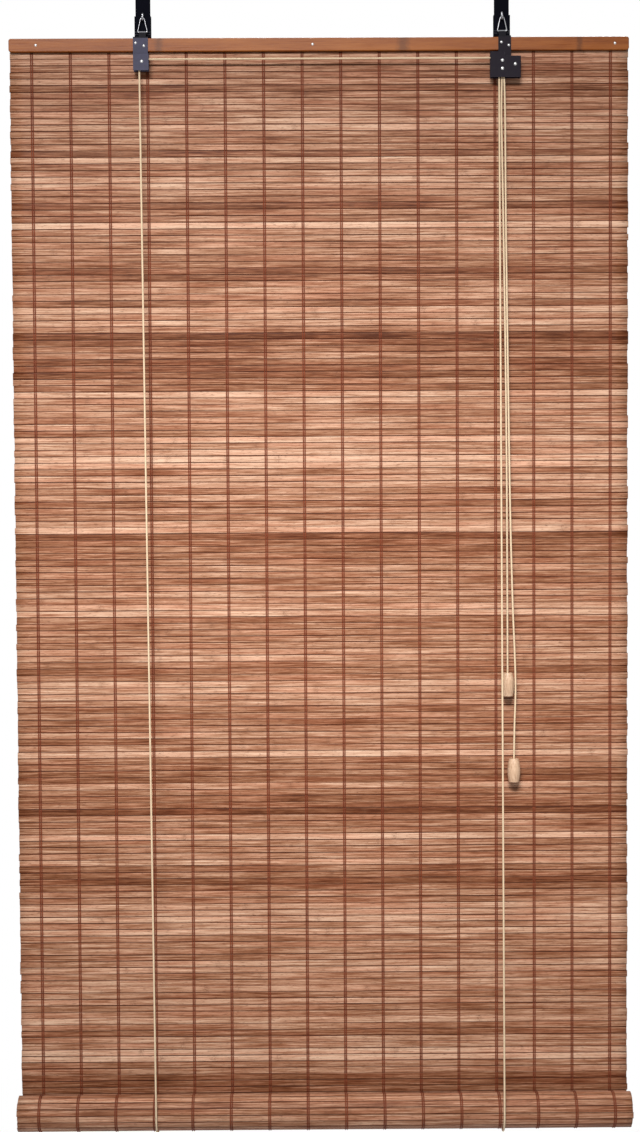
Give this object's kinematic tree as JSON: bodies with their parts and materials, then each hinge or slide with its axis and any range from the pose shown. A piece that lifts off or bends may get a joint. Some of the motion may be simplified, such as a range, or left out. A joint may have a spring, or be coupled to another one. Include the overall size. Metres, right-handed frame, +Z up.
{
  "type": "roll up blind",
  "caption": "Bamboo slat blind hung from webbing straps, rolled up from the bottom by cords through a pulley and a cord lock, with a bottom roll and wooden tassels.",
  "frame": {"origin": "midway between the two strap eyelets, on the flat back of the eyelets, where the blind is screwed or hooked up", "axes": "+X along the rail to the right seen from the room, -Y towards the room, +Z up"},
  "size_m": [0.9, 0.0666, 1.6971],
  "materials": {
    "bamboo_slats": "split bamboo, satin, each slat its own tone",
    "bamboo_batten": "brown lacquered bamboo",
    "turned_wood": "turned light wood, satin lacquer",
    "cotton_cord": "braided cream cotton cord",
    "warp_thread": "dark red-brown twisted thread",
    "black_webbing": "woven black webbing",
    "plated_steel": "bright plated steel",
    "nail_steel": "bright steel nail heads and rivets",
    "painted_bracket": "blue-grey painted steel strip",
    "lock_steel": "near-black painted steel strip",
    "pulley_nylon": "off-white nylon",
    "cam_steel": "pressed steel with teeth"
  },
  "bodies": {
    "hangers": {"strap_left": "black_webbing", "strap_right": "black_webbing", "eyelet_left": "plated_steel", "eyelet_right": "plated_steel", "hook_left": "plated_steel", "hook_right": "plated_steel"},
    "wire_links": {"wire_link_left": "plated_steel", "wire_link_right": "plated_steel"},
    "blind": {"head_batten_front": "bamboo_batten", "head_batten_back": "bamboo_batten", "head_nails": "nail_steel", "bracket_left": "painted_bracket", "bracket_right": "lock_steel", "bracket_nails": "nail_steel", "pulley_cover": "painted_bracket", "lock_cover": "lock_steel", "pulley_pin": "nail_steel", "lock_pins": "nail_steel", "slats_in_rail": "bamboo_slats", "slats_01": "bamboo_slats", "slats_02": "bamboo_slats", "slats_03": "bamboo_slats", "slats_04": "bamboo_slats", "slats_05": "bamboo_slats", "slats_06": "bamboo_slats", "slats_07": "bamboo_slats", "slats_08": "bamboo_slats", "slats_09": "bamboo_slats", "slats_10": "bamboo_slats", "slats_11": "bamboo_slats", "slats_12": "bamboo_slats", "warp_threads": "warp_thread", "cross_cord": "cotton_cord", "lock_cord": "cotton_cord", "lift_cord_left_front": "cotton_cord", "lift_cord_left_back": "cotton_cord", "lift_cord_right_front": "cotton_cord", "lift_cord_right_back": "cotton_cord", "cord_knots": "cotton_cord"},
    "left_pulley": {"pulley_left": "pulley_nylon"},
    "upper_roller": {"lock_roller_upper": "pulley_nylon"},
    "lower_roller": {"lock_roller_lower": "pulley_nylon"},
    "cam": {"lock_cam": "cam_steel"},
    "slings": {"cord_sling_left": "cotton_cord", "cord_sling_right": "cotton_cord"},
    "roll": {"roll_mat": "bamboo_slats", "bottom_battens": "bamboo_batten", "bottom_batten_nails": "nail_steel"},
    "pull_cords": {"pull_cord_upper": "cotton_cord", "pull_cord_lower": "cotton_cord", "tassel_upper": "turned_wood", "tassel_lower": "turned_wood", "tassel_knots": "cotton_cord"}
  },
  "joints": [
    {"name": "link_swing", "type": "hinge", "parent": "hangers", "child": "wire_links", "pos_m": [0, -0.0118, -0.0557], "axis": [-1, 0, 0], "range_deg": [0, 30]},
    {"name": "rail_swing", "type": "hinge", "parent": "wire_links", "child": "blind", "pos_m": [0, -0.0118, -0.0757], "axis": [-1, 0, 0], "range_deg": [0, 30]},
    {"name": "roll_rise", "type": "slide", "parent": "blind", "child": "slings", "axis": [0, 0, 1], "range_m": [0, 1.4], "deforming": ["slats_02", "slats_03", "slats_04", "slats_05", "slats_06", "slats_07", "slats_08", "slats_09", "slats_10", "slats_11", "slats_12", "warp_threads", "lift_cord_left_front", "lift_cord_right_front", "lift_cord_left_back", "lift_cord_right_back"]},
    {"name": "roll_turn", "type": "hinge", "parent": "slings", "child": "roll", "pos_m": [0, -0.0353, -1.6538], "axis": [-1, 0, 0], "range_deg": [0, 2520.1]},
    {"name": "pull_swing", "type": "hinge", "parent": "blind", "child": "pull_cords", "pos_m": [0.2613, -0.0207, -0.1434], "axis": [-1, 0, 0], "range_deg": [0, 35.01]},
    {"name": "pulley_turn", "type": "hinge", "parent": "blind", "child": "left_pulley", "pos_m": [-0.2614, -0.0207, -0.1205], "axis": [0, 1, 0], "continuous": true},
    {"name": "upper_roller_turn", "type": "hinge", "parent": "blind", "child": "upper_roller", "pos_m": [0.26, -0.0207, -0.1209], "axis": [0, 1, 0], "continuous": true},
    {"name": "lower_roller_turn", "type": "hinge", "parent": "blind", "child": "lower_roller", "pos_m": [0.26, -0.0207, -0.1325], "axis": [0, 1, 0], "continuous": true},
    {"name": "cam_tilt", "type": "hinge", "parent": "blind", "child": "cam", "pos_m": [0.2786, -0.0207, -0.1261], "axis": [0, 1, 0], "range_deg": [0, 25]}
  ],
  "couplings": [
    {"joint": "roll_turn", "follows": "roll_rise", "rad_per_m": 31.416},
    {"joint": "pull_swing", "follows": "roll_rise", "rad_per_m": 0.43633}
  ]
}
